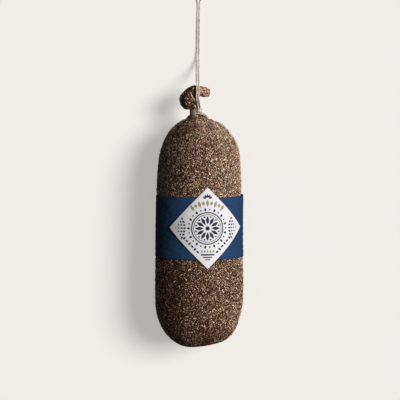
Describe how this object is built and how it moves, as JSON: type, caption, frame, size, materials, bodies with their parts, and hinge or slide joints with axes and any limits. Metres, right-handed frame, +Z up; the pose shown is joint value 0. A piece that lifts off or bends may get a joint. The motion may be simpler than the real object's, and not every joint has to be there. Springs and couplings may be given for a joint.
{
  "type": "cured sausage",
  "caption": "Large dry-cured sausage coated in cracked pepper, with a gathered neck tied with twine, a paper band and a diamond label, lying on its flattened back.",
  "frame": {"origin": "on the surface that the sausage lies on, under the middle of its bounding box without the twine", "axes": "+Y along the sausage from its blunt end to its tied neck, +Z up through the side with the label, -Z out of the flattened back that it rests on"},
  "size_m": [0.089, 0.3674, 0.0868],
  "materials": {
    "pepper_coat": "dry coat of coarsely cracked pepper on a cured casing",
    "band_paper": "navy printed paper, satin",
    "label_paper": "white printed label paper, satin",
    "twine": "natural plied cotton and linen twine"
  },
  "bodies": {
    "root": {"sausage": "pepper_coat", "paper_band": "band_paper", "paper_label": "label_paper", "neck_tie": "twine", "hanging_loop": "twine"}
  },
  "joints": []
}
